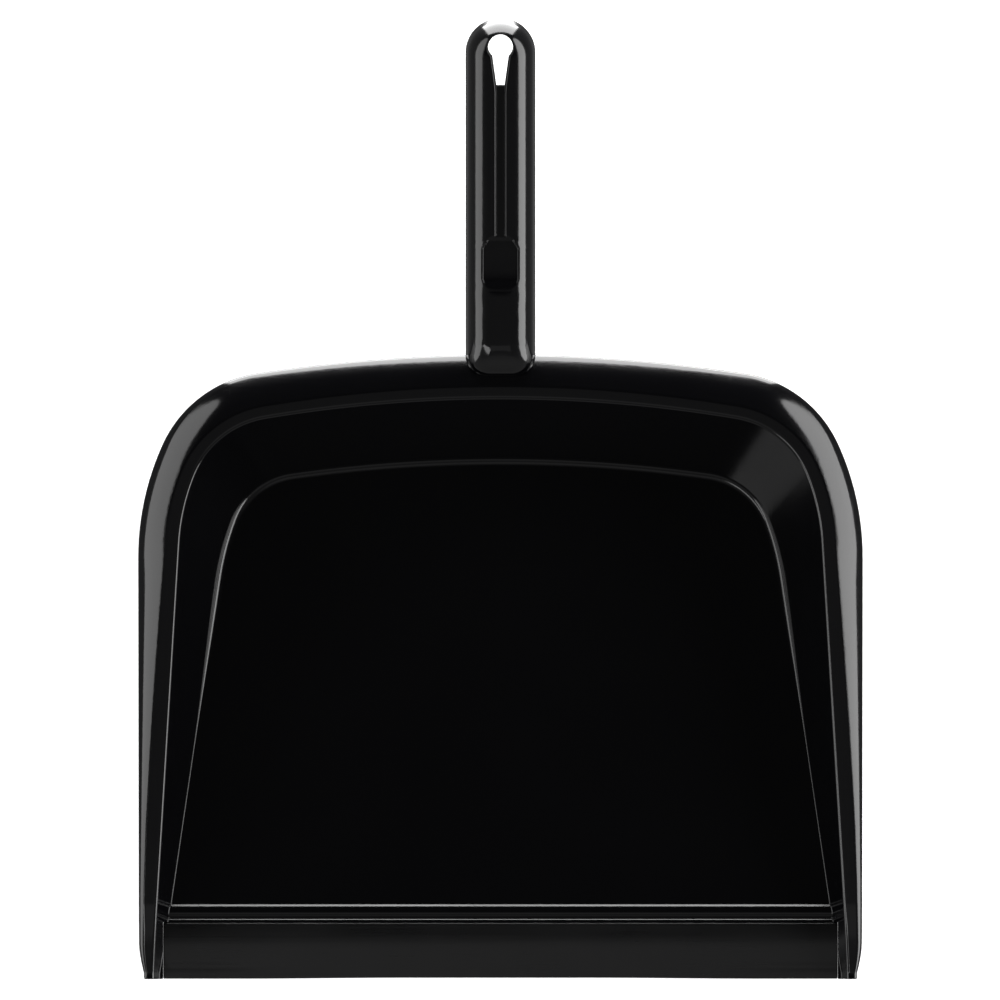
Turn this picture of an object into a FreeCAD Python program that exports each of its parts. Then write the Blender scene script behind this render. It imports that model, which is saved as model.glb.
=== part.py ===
"""Dust pan with a hollow handle and a soft front lip, in millimetres.

Three pieces. pan_body is the moulded tray: a flat floor, drafted walls, a turned-down rim that
rises towards the back, a bead across the front, a thin tongue for the lip and a hollow tongue for
the handle. handle is an inverted trough that sits on the back rim and slides over the hollow
tongue. front_lip is a soft wedge with a slot, pressed onto the thin tongue.

The bodies are drawn with Y = 0 at the lip's front edge and Z = 0 on the ground, X across. Each
finished piece is then moved back by half the overall length, which centres the pan on the origin.
"""
import FreeCAD, Part
import math
import os
import re

import Sketcher

DRIVING = {
    # whole pan
    "overall_length": 404.0,
    # rim seen from above, outer edge: back arc, corner arc, easing arc, straight side
    "outer_back": 263.0,
    "outer_back_radius": 685.0,
    "outer_back_angle": 8.6,
    "outer_corner_radius": 52.0,
    "outer_corner_angle": 65.4,
    "outer_ease_radius": 115.0,
    "outer_slant": 0.0,
    # rim seen from above, inner edge
    "inner_back": 244.6,
    "inner_back_radius": 600.0,
    "inner_back_angle": 9.5,
    "inner_corner_radius": 39.0,
    "inner_corner_angle": 68.0,
    "inner_ease_radius": 90.0,
    "inner_slant": 3.6,
    # edge of the flat floor
    "floor_back": 217.5,
    "floor_back_radius": 628.0,
    "floor_back_angle": 8.0,
    "floor_corner_radius": 30.0,
    "floor_corner_angle": 69.6,
    "floor_ease_radius": 120.0,
    "floor_slant": 8.35,
    # tray
    "floor_top": 4.5,
    "floor_thickness": 2.5,
    "wall_across": 2.8,
    "wall_foot": 1.6,
    "cavity_over": 5.0,
    "cavity_over_grow": 2.5,
    # rim
    "rim_angle": 10.34,
    "rim_base": 15.4,
    "rim_plate": 2.5,
    "skirt_depth": 13.0,
    "skirt_wall": 2.5,
    "rim_round": 5.0,
    "nose_length": 25.0,
    "nose_height": 9.0,
    # front of the tray
    "lip_length": 24.0,
    "lip_half_width": 142.6,
    "lip_end_gap": 0.3,
    "lip_height": 5.7,
    "lip_edge": 0.8,
    "lip_flat": 3.0,
    "slot_depth": 11.0,
    "slot_bottom": 1.2,
    "slot_top": 2.8,
    "bead_start": 26.0,
    "bead_width": 5.0,
    "bead_height": 1.6,
    "bead_half_width": 139.0,
    # underside
    "runner_width": 5.0,
    "runner_spacing": 80.0,
    "runner_end": 205.0,
    # handle, measured along and square to the sloping rim
    "handle_root": 257.2,
    "handle_width": 29.5,
    "handle_height": 14.75,
    "handle_rise": 6.0,
    "handle_draft": 10.0,
    "handle_root_corner": 10.0,
    "handle_round": 7.0,
    "handle_wall": 2.6,
    "handle_top_wall": 4.0,
    "keyhole_radius": 5.2,
    "keyhole_from_tip": 10.4,
    "keyhole_slot_half": 3.4,
    "keyhole_end_half": 1.7,
    "keyhole_end_from_tip": 26.8,
    "groove_half": 1.8,
    "groove_depth": 1.6,
    "pocket_start": 295.3,
    "pocket_length": 22.7,
    "pocket_half": 7.6,
    "pocket_end_half": 5.2,
    "pocket_chamfer": 5.2,
    "pocket_depth": 2.2,
    "tongue_start": 251.0,
    "tongue_half": 9.8,
    "tongue_end": 285.0,
    "tongue_wall": 2.4,
    "tongue_drop": 8.0,
    "tongue_hollow_start": 268.5,
    "root_clearance": 5.5,
}

# reaches that only have to clear the pan, and the lap of one shape into the next
PAD_HEIGHT = "120"
SIDE_REACH = "400"
BEHIND_PAN = "320"
BEFORE_PAN = "-10"
BELOW_PAN = "-5"
ABOVE_PAN = "170"
LAP = "1"
XY, XZ, YZ = "XY_Plane", "XZ_Plane", "YZ_Plane"

doc = FreeCAD.newDocument("dust_pan")
sheet = doc.addObject("Spreadsheet::Sheet", "Params")
for row, (alias, size) in enumerate(DRIVING.items(), start=1):
    sheet.set(f"A{row}", alias)
    sheet.set(f"B{row}", str(size))
    sheet.setAlias(f"B{row}", alias)
doc.recompute()


def sized(text):
    """An expression on the sheet: every driving name in the text gets the sheet's name in front."""
    return re.sub("[a-z_]+", lambda m: f"Params.{m[0]}" if m[0] in DRIVING else m[0], text)


def number(obj, text):
    """The present value of an expression."""
    value = obj.evalExpression(sized(text))
    return float(getattr(value, "Value", value))


def bind(obj, prop, text):
    obj.setExpression(prop, sized(text))


def new_body(name):
    return doc.addObject("PartDesign::Body", name)


def new_sketch(body, name, plane=XY, lift=None, tilt=None):
    """A sketch on one of the body's own origin planes, lifted along its normal and tilted about X."""
    sketch = body.newObject("Sketcher::SketchObject", name)
    origin_plane = next(f for f in body.Origin.OriginFeatures if f.Role == plane)
    sketch.AttachmentSupport = [(origin_plane, "")]
    sketch.MapMode = "FlatFace"
    if tilt:
        turn = FreeCAD.Rotation(FreeCAD.Vector(1, 0, 0), number(sketch, tilt))
        sketch.AttachmentOffset = FreeCAD.Placement(FreeCAD.Vector(), turn)
        bind(sketch, "AttachmentOffset.Rotation.Angle", tilt)
    if lift:
        bind(sketch, "AttachmentOffset.Base.z", lift)
    return sketch


def constrain(sketch, name, text, kind, *where):
    """Adds a dimension to the sketch and binds it to the sheet."""
    index = sketch.addConstraint(Sketcher.Constraint(kind, *where, number(sketch, text)))
    sketch.renameConstraint(index, name)
    bind(sketch, f"Constraints.{name}", text)


def draw_polygon(sketch, points):
    """A closed polygon with both coordinates of every corner bound to the sheet."""
    corners = [FreeCAD.Vector(number(sketch, a), number(sketch, b), 0) for a, b in points]
    first = sketch.GeometryCount
    for start, end in zip(corners, corners[1:] + corners[:1]):
        sketch.addGeometry(Part.LineSegment(start, end))
    count = len(points)
    for i, (a, b) in enumerate(points):
        line = first + i
        sketch.addConstraint(Sketcher.Constraint("Coincident", line, 2, first + (i + 1) % count, 1))
        constrain(sketch, f"across_{line}", a, "DistanceX", -1, 1, line, 1)
        constrain(sketch, f"up_{line}", b, "DistanceY", -1, 1, line, 1)


def draw_outline(sketch, edge, grow="0", stretch="1", front="0"):
    """The closed U-shaped outline of the pan, symmetric about Y and straight across its front.

    edge is outer, inner or floor. From the middle of the back it is a wide arc, a corner arc, an
    easing arc and a straight side. grow moves all of it outwards. stretch lengthens it along Y,
    for an outline drawn on the sloping rim.
    """
    back = f"({edge}_back * {stretch})"
    wide, corner, ease = (f"{edge}_{kind}_radius" for kind in ("back", "corner", "ease"))
    first_turn, second_turn, slant = (f"{edge}_{kind}" for kind in ("back_angle", "corner_angle", "slant"))
    values = {name: number(sketch, name) for name in (back, wide, corner, ease, first_turn,
                                                      second_turn, slant, grow, front)}
    turns = [math.radians(values[first_turn]), math.radians(values[second_turn]),
             math.radians(90 - values[slant])]
    radii = [values[wide], values[corner], values[ease]]

    centres = [FreeCAD.Vector(0, values[back] - radii[0], 0)]
    for turn, before, after in zip(turns, radii, radii[1:]):
        step = FreeCAD.Vector(math.sin(turn), math.cos(turn), 0) * (before - after)
        centres.append(centres[-1] + step)

    def on_arc(i, turn, side):
        reach = radii[i] + values[grow]
        offset = FreeCAD.Vector(math.sin(turn), math.cos(turn), 0) * reach
        point = centres[i] + offset
        return FreeCAD.Vector(side * point.x, point.y, 0)

    def arc(i, start, end, side):
        """Arc i between two turns from the Y axis, always drawn counterclockwise."""
        centre = FreeCAD.Vector(side * centres[i].x, centres[i].y, 0)
        circle = Part.Circle(centre, FreeCAD.Vector(0, 0, 1), radii[i] + values[grow])
        low, high = (math.pi / 2 - end, math.pi / 2 - start)
        if side < 0:
            low, high = math.pi - high, math.pi - low
        return Part.ArcOfCircle(circle, low, high)

    side_top = on_arc(2, turns[2], 1)
    reach = side_top.x + (side_top.y - values[front]) * math.tan(math.radians(values[slant]))
    front_right = FreeCAD.Vector(reach, values[front], 0)
    front_left = FreeCAD.Vector(-reach, values[front], 0)

    top = sketch.addGeometry(arc(0, -turns[0], turns[0], 1))
    left_corner = sketch.addGeometry(arc(1, turns[0], turns[1], -1))
    left_ease = sketch.addGeometry(arc(2, turns[1], turns[2], -1))
    left_side = sketch.addGeometry(Part.LineSegment(on_arc(2, turns[2], -1), front_left))
    across = sketch.addGeometry(Part.LineSegment(front_left, front_right))
    right_side = sketch.addGeometry(Part.LineSegment(front_right, side_top))
    right_ease = sketch.addGeometry(arc(2, turns[1], turns[2], 1))
    right_corner = sketch.addGeometry(arc(1, turns[0], turns[1], 1))

    loop = [top, left_corner, left_ease, left_side, across, right_side, right_ease, right_corner]
    for here, there in zip(loop, loop[1:] + loop[:1]):
        kind = "Coincident" if across in (here, there) else "Tangent"
        sketch.addConstraint(Sketcher.Constraint(kind, here, 2, there, 1))
    sketch.addConstraint(Sketcher.Constraint("PointOnObject", top, 3, -2))
    sketch.addConstraint(Sketcher.Constraint("Horizontal", top, 1, top, 2))
    sketch.addConstraint(Sketcher.Constraint("Horizontal", left_corner, 2, right_corner, 1))
    sketch.addConstraint(Sketcher.Constraint("Equal", left_corner, right_corner))
    sketch.addConstraint(Sketcher.Constraint("Equal", left_ease, right_ease))
    sketch.addConstraint(Sketcher.Constraint("Symmetric", across, 1, across, 2, -2))

    constrain(sketch, "wide_centre", f"{wide} - {back}", "DistanceY", top, 3, -1, 1)
    constrain(sketch, "wide_radius", f"{wide} + {grow}", "Radius", top)
    constrain(sketch, "corner_radius", f"{corner} + {grow}", "Radius", right_corner)
    constrain(sketch, "ease_radius", f"{ease} + {grow}", "Radius", right_ease)
    first_reach = f"( {wide} - {corner} ) * sin( {first_turn} )"
    constrain(sketch, "corner_start", f"( {wide} + {grow} ) * sin( {first_turn} )",
              "DistanceX", -1, 1, top, 1)
    constrain(sketch, "corner_end", f"{first_reach} + ( {corner} + {grow} ) * sin( {second_turn} )",
              "DistanceX", -1, 1, right_corner, 1)
    constrain(sketch, "side_slant", f"( 90 + {slant} ) * 1 deg", "Angle", right_side)
    constrain(sketch, "front", front, "DistanceY", -1, 1, across, 1)


def finish_feature(feature, body):
    """Recomputes the document and makes the feature the body's tip."""
    body.Tip = feature
    doc.recompute()
    return feature


def pad(body, name, sketch, length, midplane=False, taper=None):
    feature = body.newObject("PartDesign::Pad", name)
    feature.Profile = sketch
    bind(feature, "Length", length)
    feature.Midplane = midplane
    if taper:
        bind(feature, "TaperAngle", taper)
    return finish_feature(feature, body)


def pocket(body, name, sketch, length, midplane=False, upwards=False, taper=None):
    """A pocket that must take material away; it cuts below the sketch unless it runs upwards."""
    before = body.Shape.Volume
    feature = body.newObject("PartDesign::Pocket", name)
    feature.Profile = sketch
    bind(feature, "Length", length)
    feature.Midplane = midplane
    feature.Reversed = upwards
    if taper:
        bind(feature, "TaperAngle", taper)
    finish_feature(feature, body)
    if feature.Shape.Volume >= before - 1.0:
        raise RuntimeError(f"{name} cuts nothing")
    return feature


def loft(body, name, lower, upper):
    feature = body.newObject("PartDesign::AdditiveLoft", name)
    feature.Profile = lower
    feature.Sections = [upper]
    feature.Ruled = True
    return finish_feature(feature, body)


def fillet(body, name, base, radius, wanted):
    """Rounds every edge of the base feature that wanted(edge) picks."""
    names = [f"Edge{i}" for i, edge in enumerate(base.Shape.Edges, start=1) if wanted(edge)]
    feature = body.newObject("PartDesign::Fillet", name)
    feature.Base = (base, names)
    bind(feature, "Radius", radius)
    return finish_feature(feature, body)


def boolean(kind, name, base, tool):
    feature = doc.addObject(f"Part::{kind}", name)
    feature.Base = base
    feature.Tool = tool
    doc.recompute()
    return feature


def is_level(edge, height, slack=0.01):
    box = edge.BoundBox
    return abs(box.ZMin - height) < slack and abs(box.ZMax - height) < slack


# ---- rim: everything inside the outer outline and under the sloping rim line ----

RIM_LINE = "rim_base + {y} * tan( rim_angle )"


def under_rim(name, grow="0", drop="0", front="0"):
    """The space under the rim line. The line slopes up to the back and noses down at the front."""
    body = new_body(name)
    plan = new_sketch(body, f"{name}_plan")
    draw_outline(plan, "outer", grow, front=front)
    pad(body, f"{name}_pad", plan, PAD_HEIGHT)
    side = new_sketch(body, f"{name}_side", YZ)
    draw_polygon(side, [
        (BEFORE_PAN, f"nose_height - {drop}"),
        ("0", f"nose_height - {drop}"),
        ("nose_length", RIM_LINE.format(y="nose_length") + f" - {drop}"),
        (BEHIND_PAN, RIM_LINE.format(y=BEHIND_PAN) + f" - {drop}"),
        (BEHIND_PAN, ABOVE_PAN),
        (BEFORE_PAN, ABOVE_PAN),
    ])
    pocket(body, f"{name}_slope", side, SIDE_REACH, midplane=True)
    return body


def along_rim(edge):
    """True for the outer top edge of the rim: above the base, neither upright nor across the front."""
    return edge.BoundBox.ZMax > 1.0 and edge.BoundBox.YLength > 1.0


rim_block = under_rim("rim_block")
fillet(rim_block, "rim_rounding", rim_block.Tip, "rim_round", along_rim)
below_skirt = under_rim("below_skirt", grow=LAP, drop="skirt_depth", front=BEFORE_PAN)
rim_channel = under_rim("rim_channel", grow="-skirt_wall", drop="rim_plate", front="skirt_wall")
rim_slab = boolean("Cut", "rim_slab", rim_block, below_skirt)
hollow_rim = boolean("Cut", "hollow_rim", rim_slab, rim_channel)


# ---- tray: straight walls from the floor's outline to the rim's inner outline ----

ON_RIM = "1 / cos( rim_angle )"


def tray_space(name, foot_height, foot_grow, top_height, top_grow, front):
    body = new_body(name)
    foot = new_sketch(body, f"{name}_foot", lift=foot_height)
    draw_outline(foot, "floor", foot_grow, front=front)
    top = new_sketch(body, f"{name}_top", lift=top_height, tilt="rim_angle")
    draw_outline(top, "inner", top_grow, ON_RIM, front)
    loft(body, f"{name}_walls", foot, top)
    return body


tub = tray_space("tub", "floor_top - floor_thickness", "wall_foot", "rim_base", "wall_across", "0")
cavity = tray_space("cavity", "floor_top", "0", "rim_base + cavity_over", "cavity_over_grow",
                    BEFORE_PAN)
trimmed_tub = boolean("Common", "trimmed_tub", tub, rim_block)
shell = boolean("Fuse", "shell", hollow_rim, trimmed_tub)
tray = boolean("Cut", "tray", shell, cavity)


# ---- front of the tray: a notch for the lip, a thin tongue in it, a beam and a bead behind it ----


def bar(name, profile, half_width):
    """A bar across the pan, its YZ profile given corner by corner."""
    body = new_body(name)
    sketch = new_sketch(body, f"{name}_profile", YZ)
    draw_polygon(sketch, profile)
    pad(body, f"{name}_pad", sketch, f"2 * {half_width}", midplane=True)
    return body


lip_notch = bar("lip_notch", [
    (BEFORE_PAN, BELOW_PAN), ("lip_length", BELOW_PAN),
    ("lip_length", PAD_HEIGHT), (BEFORE_PAN, PAD_HEIGHT),
], "lip_half_width")
TONGUE_TIP = "( lip_length - slot_depth )"
lip_tongue = bar("lip_tongue", [
    (TONGUE_TIP, "slot_bottom"), (f"lip_length + {LAP}", "slot_bottom"),
    (f"lip_length + {LAP}", "slot_top"), (TONGUE_TIP, "slot_top"),
], "lip_half_width")
BEAD_END = "( bead_start + bead_width )"
front_beam = bar("front_beam", [
    ("lip_length", "0"), (BEAD_END, "0"), (BEAD_END, "floor_top"), ("lip_length", "floor_top"),
], "lip_half_width")
bead = bar("bead", [
    ("bead_start", f"floor_top - {LAP}"), (BEAD_END, f"floor_top - {LAP}"), (BEAD_END, "floor_top"),
    (f"{BEAD_END} - bead_height", "floor_top + bead_height"),
    ("bead_start + bead_height", "floor_top + bead_height"), ("bead_start", "floor_top"),
], "bead_half_width")


def runner(name, place):
    """One of the bars under the floor that the tray stands on; place is -1, 0 or 1 across it."""
    body = new_body(name)
    sketch = new_sketch(body, f"{name}_plan")
    middle, half = f"{place} * runner_spacing", "runner_width / 2"
    draw_polygon(sketch, [
        (f"{middle} - {half}", "bead_start"), (f"{middle} + {half}", "bead_start"),
        (f"{middle} + {half}", "runner_end"), (f"{middle} - {half}", "runner_end"),
    ])
    pad(body, f"{name}_pad", sketch, "floor_top - floor_thickness / 2")
    return body


runners = [runner(name, place) for name, place in
           (("runner_left", -1), ("runner_middle", 0), ("runner_right", 1))]


# ---- handle and its tongue: drawn in the plane of the rim, Y up the slope ----


def on_slope(body):
    """Puts a body's own frame on the rim's plane, at the foot of its slope."""
    body.Placement = FreeCAD.Placement(
        FreeCAD.Vector(), FreeCAD.Rotation(FreeCAD.Vector(1, 0, 0), DRIVING["rim_angle"]))
    bind(body, "Placement.Rotation.Angle", "rim_angle")
    bind(body, "Placement.Base.z", "rim_base")
    return body


HANDLE_FOOT = "( handle_rise - handle_height )"
HANDLE_END = f"( ( overall_length + {HANDLE_FOOT} * sin( rim_angle ) ) / cos( rim_angle ) )"


def draw_handle_plan(sketch, inset="0"):
    """A long plan with a half-round tip and a squarer root with rounded corners."""
    names = {"half": f"( handle_width / 2 - {inset} )", "corner": f"( handle_root_corner - {inset} )",
             "root": f"( handle_root + {inset} )", "tip": f"( {HANDLE_END} - handle_width / 2 )"}
    half, corner, root, tip = (number(sketch, names[key]) for key in ("half", "corner", "root", "tip"))
    up = FreeCAD.Vector(0, 0, 1)

    def arc(x, y, radius, start, end):
        circle = Part.Circle(FreeCAD.Vector(x, y, 0), up, radius)
        return Part.ArcOfCircle(circle, math.radians(start), math.radians(end))

    def line(x1, y1, x2, y2):
        return Part.LineSegment(FreeCAD.Vector(x1, y1, 0), FreeCAD.Vector(x2, y2, 0))

    flat = half - corner
    loop = [sketch.addGeometry(piece) for piece in (
        arc(0, tip, half, 0, 180),
        line(-half, tip, -half, root + corner),
        arc(-flat, root + corner, corner, 180, 270),
        line(-flat, root, flat, root),
        arc(flat, root + corner, corner, 270, 360),
        line(half, root + corner, half, tip),
    )]
    for here, there in zip(loop, loop[1:] + loop[:1]):
        sketch.addConstraint(Sketcher.Constraint("Tangent", here, 2, there, 1))
    tip_arc, left, left_corner, root_line, right_corner, right = loop
    sketch.addConstraint(Sketcher.Constraint("PointOnObject", tip_arc, 3, -2))
    sketch.addConstraint(Sketcher.Constraint("Vertical", left))
    sketch.addConstraint(Sketcher.Constraint("Vertical", right))
    sketch.addConstraint(Sketcher.Constraint("Horizontal", root_line))
    sketch.addConstraint(Sketcher.Constraint("Equal", left_corner, right_corner))
    constrain(sketch, "half", names["half"], "Radius", tip_arc)
    constrain(sketch, "corner", names["corner"], "Radius", right_corner)
    constrain(sketch, "root", names["root"], "DistanceY", -1, 1, root_line, 1)
    constrain(sketch, "tip", names["tip"], "DistanceY", -1, 1, tip_arc, 3)


def draw_keyhole(sketch):
    """A round lobe near the handle's end with a slot that narrows away from it."""
    lobe = f"( {HANDLE_END} - keyhole_from_tip )"
    end = f"( {HANDLE_END} - keyhole_end_from_tip )"
    centre, radius, low, half, end_half = (number(sketch, text) for text in (
        lobe, "keyhole_radius", end, "keyhole_slot_half", "keyhole_end_half"))
    turn = math.acos(half / radius)
    mouth = centre - radius * math.sin(turn)
    circle = Part.Circle(FreeCAD.Vector(0, centre, 0), FreeCAD.Vector(0, 0, 1), radius)
    corners = [FreeCAD.Vector(-half, mouth, 0), FreeCAD.Vector(-end_half, low, 0),
               FreeCAD.Vector(end_half, low, 0), FreeCAD.Vector(half, mouth, 0)]
    loop = [sketch.addGeometry(Part.ArcOfCircle(circle, -turn, math.pi + turn))]
    loop += [sketch.addGeometry(Part.LineSegment(a, b)) for a, b in zip(corners, corners[1:])]
    for here, there in zip(loop, loop[1:] + loop[:1]):
        sketch.addConstraint(Sketcher.Constraint("Coincident", here, 2, there, 1))
    arc, _, end_line, _ = loop
    sketch.addConstraint(Sketcher.Constraint("PointOnObject", arc, 3, -2))
    sketch.addConstraint(Sketcher.Constraint("Horizontal", arc, 1, arc, 2))
    sketch.addConstraint(Sketcher.Constraint("Symmetric", end_line, 1, end_line, 2, -2))
    constrain(sketch, "lobe", lobe, "DistanceY", -1, 1, arc, 3)
    constrain(sketch, "radius", "keyhole_radius", "Radius", arc)
    constrain(sketch, "mouth", "keyhole_slot_half", "DistanceX", -1, 1, arc, 1)
    constrain(sketch, "end", end, "DistanceY", -1, 1, end_line, 1)
    constrain(sketch, "end_half", "keyhole_end_half", "DistanceX", -1, 1, end_line, 2)


def make_handle():
    body = on_slope(new_body("handle_trough"))
    plan = new_sketch(body, "handle_plan", lift=HANDLE_FOOT)
    draw_handle_plan(plan)
    solid = pad(body, "handle_pad", plan, "handle_height", taper="-handle_draft")
    rise = DRIVING["handle_rise"]
    fillet(body, "handle_rounding", solid, "handle_round",
           lambda edge: is_level(edge, rise))
    inside = new_sketch(body, "handle_inside", lift=HANDLE_FOOT)
    draw_handle_plan(inside, "handle_wall")
    pocket(body, "handle_hollow", inside, "handle_height - handle_top_wall", upwards=True,
           taper="-handle_draft")
    keyhole = new_sketch(body, "keyhole_plan")
    draw_keyhole(keyhole)
    pocket(body, "keyhole", keyhole, "4 * handle_height", midplane=True)
    groove = new_sketch(body, "groove_plan", lift="handle_rise")
    slot_end = f"{HANDLE_END} - keyhole_end_from_tip + {LAP}"
    pocket_end = "pocket_start + pocket_length"
    draw_polygon(groove, [
        ("-groove_half", f"{pocket_end} - {LAP}"), ("groove_half", f"{pocket_end} - {LAP}"),
        ("groove_half", slot_end), ("-groove_half", slot_end),
    ])
    pocket(body, "groove", groove, "groove_depth")
    recess = new_sketch(body, "recess_plan", lift="handle_rise")
    low, high = "pocket_start + pocket_chamfer", f"{pocket_end} - pocket_chamfer"
    draw_polygon(recess, [
        ("-pocket_end_half", "pocket_start"), ("pocket_end_half", "pocket_start"),
        ("pocket_half", low), ("pocket_half", high),
        ("pocket_end_half", pocket_end), ("-pocket_end_half", pocket_end),
        ("-pocket_half", high), ("-pocket_half", low),
    ])
    pocket(body, "recess", recess, "pocket_depth")
    return body


def make_handle_tongue():
    """The hollow tongue under the handle: it leaves the rim and rises to the handle's ceiling."""
    body = on_slope(new_body("handle_tongue"))
    side = new_sketch(body, "tongue_side", YZ)
    ceiling = "handle_rise - handle_top_wall"
    lean = "( handle_height - handle_top_wall ) * tan( handle_draft )"
    inside = f"handle_root + handle_wall + {lean} + root_clearance"
    draw_polygon(side, [
        ("tongue_start", "-tongue_drop"), ("tongue_end", "-tongue_drop"), ("tongue_end", ceiling),
        (inside, ceiling), (inside, "-rim_plate / 2"), ("tongue_start", "-rim_plate / 2"),
    ])
    pad(body, "tongue_pad", side, "2 * tongue_half", midplane=True)
    under = new_sketch(body, "tongue_under", lift="-tongue_drop")
    half, end = "( tongue_half - tongue_wall )", "tongue_end - tongue_wall"
    draw_polygon(under, [
        (f"-{half}", "tongue_hollow_start"), (half, "tongue_hollow_start"),
        (half, end), (f"-{half}", end),
    ])
    pocket(body, "tongue_hollow", under, f"tongue_drop + {ceiling} - tongue_wall", upwards=True)
    return body


handle_trough = make_handle()
handle_tongue = make_handle_tongue()


# ---- the finished pieces, each moved so that the pan is centred on the origin ----


def piece(feature, label):
    feature.Label = label
    bind(feature, "Placement.Base.y", "-overall_length / 2")
    return feature


notched_tray = boolean("Cut", "notched_tray", tray, lip_notch)
pan = doc.addObject("Part::MultiFuse", "pan")
pan.Shapes = [notched_tray, lip_tongue, front_beam, bead, handle_tongue, *runners]
lip = bar("lip", [
    ("0", "0"), ("lip_length", "0"), ("lip_length", "slot_bottom"), (TONGUE_TIP, "slot_bottom"),
    (TONGUE_TIP, "slot_top"), ("lip_length", "slot_top"), ("lip_length", "lip_height"),
    ("lip_length - lip_flat", "lip_height"), ("0", "lip_edge"),
], "( lip_half_width - lip_end_gap )")
seated_handle = boolean("Cut", "seated_handle", handle_trough, rim_block)

pieces = [piece(pan, "pan_body"), piece(seated_handle, "handle"), piece(lip, "front_lip")]
doc.recompute()

for obj in doc.Objects:
    if "Invalid" in obj.State or "Error" in obj.State:
        raise RuntimeError(f"{obj.Label} failed: {obj.State}")
for obj in pieces:
    if obj.Shape.isNull() or not obj.Shape.isValid() or len(obj.Shape.Solids) != 1:
        raise RuntimeError(f"{obj.Label} is not one valid solid")

os.makedirs("parts", exist_ok=True)
for obj in pieces:
    obj.Shape.exportStep(f"parts/{obj.Label}.step")
    box = obj.Shape.BoundBox
    print(obj.Label, f"{obj.Shape.Volume:.0f} mm3", f"X {box.XMin:.1f} {box.XMax:.1f}",
          f"Y {box.YMin:.1f} {box.YMax:.1f}", f"Z {box.ZMin:.1f} {box.ZMax:.1f}")
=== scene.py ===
"""A black moulded dust pan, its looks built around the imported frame.

Shapes are worked out in millimetres, with Y = 0 at the lip's front edge and Z = 0 on the ground,
and go into the row frame when a piece's mesh is made. The handle is worked out in a frame of its
own that lies on the sloping rim.
"""

import math

import bmesh
import bpy
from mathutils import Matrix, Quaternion, Vector


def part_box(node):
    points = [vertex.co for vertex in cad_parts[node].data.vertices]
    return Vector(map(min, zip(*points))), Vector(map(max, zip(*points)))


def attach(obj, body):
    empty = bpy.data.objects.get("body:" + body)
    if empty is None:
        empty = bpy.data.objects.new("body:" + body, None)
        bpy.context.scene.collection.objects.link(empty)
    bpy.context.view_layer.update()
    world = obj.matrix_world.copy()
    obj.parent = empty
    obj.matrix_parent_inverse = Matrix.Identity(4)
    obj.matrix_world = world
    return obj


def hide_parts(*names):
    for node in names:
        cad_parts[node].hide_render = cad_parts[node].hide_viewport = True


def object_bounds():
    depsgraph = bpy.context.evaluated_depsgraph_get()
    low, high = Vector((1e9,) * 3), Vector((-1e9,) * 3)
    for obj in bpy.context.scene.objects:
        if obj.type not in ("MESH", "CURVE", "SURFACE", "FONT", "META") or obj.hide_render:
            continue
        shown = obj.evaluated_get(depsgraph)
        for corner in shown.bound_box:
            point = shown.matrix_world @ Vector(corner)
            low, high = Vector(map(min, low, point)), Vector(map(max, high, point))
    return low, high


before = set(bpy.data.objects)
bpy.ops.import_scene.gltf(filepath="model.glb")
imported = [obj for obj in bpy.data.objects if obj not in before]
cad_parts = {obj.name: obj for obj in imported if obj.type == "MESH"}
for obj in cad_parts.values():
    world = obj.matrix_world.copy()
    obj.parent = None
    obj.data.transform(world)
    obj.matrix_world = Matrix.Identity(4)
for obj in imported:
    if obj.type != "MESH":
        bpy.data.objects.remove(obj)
cad_low, cad_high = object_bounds()

MM = 0.001
MERGE_DISTANCE = 0.01 * MM
LEAST_EDGE = 0.005 * MM
SHARP_ANGLE = math.radians(50)
LENGTH = (cad_high.y - cad_low.y) / MM
HEIGHT = (cad_high.z - cad_low.z) / MM
LIP_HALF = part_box("front_lip")[1].x / MM
LIP_BACK = (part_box("front_lip")[1].y - cad_low.y) / MM
LIP_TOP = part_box("front_lip")[1].z / MM

# ---- the pan's edges seen from above: back arc, corner arc, easing arc, straight side ----

OUTER = {"back": 263.0, "radii": (685.0, 52.0, 115.0), "turns": (8.6, 65.4, 90.0)}
INNER = {"back": 244.6, "radii": (600.0, 39.0, 90.0), "turns": (9.5, 68.0, 86.4)}
FLOOR = {"back": 217.5, "radii": (628.0, 30.0, 120.0), "turns": (8.0, 69.6, 81.65)}
ARC_STEPS = (22, 30, 12)
SIDE_STEPS = 28
FRONT_JOIN = 34.0

# ---- heights, thicknesses and small rounds of the tray and its rim ----

FLOOR_TOP = 4.5
FLOOR_UNDER = 2.0
FOOT_SHIFT = 1.4
RIM_ANGLE = math.radians(10.34)
RIM_BASE = 15.4
NOSE_LENGTH = 25.0
NOSE_HEIGHT = 9.0
NOSE_BLEND = 2.0
RIM_PLATE = 2.5
RIM_ROUND = (1.2, 1.4)
UNDER_FLAT_SHARE = 0.8
SKIRT_DEPTH = 13.0
SKIRT_WALL = 2.5
SKIRT_SOFT = 0.7
WALL_ACROSS = 2.8
WALL_FOOT = 1.6
WALL_TOP_ROUND = 0.8
WALL_FOOT_ROUND = 5.2
FLOOR_EDGE = 9.0
NOTCH_HALF = LIP_HALF + 0.05
CHANNEL_END = 2.5
CHANNEL_LEAST = 0.5
CORNER_PULL = 2.7
CORNER_REACH = 15.0
BEAD_MIDDLE = 28.8
BEAD_HALF = 2.9
BEAD_HEIGHT = 1.3
BEAD_SLOPE = 0.76
BEAD_SOFT = 0.8
BEAD_TOP_SOFT = 0.4
BEAD_FOOT_SOFT = 0.12
EDGE_RIDGE = 0.9
EDGE_RIDGE_FOOT = 1.9
EDGE_RIDGE_SOFT = 0.15
CROWN = 0.35
FOOT_ROUND = 2.4
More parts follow.
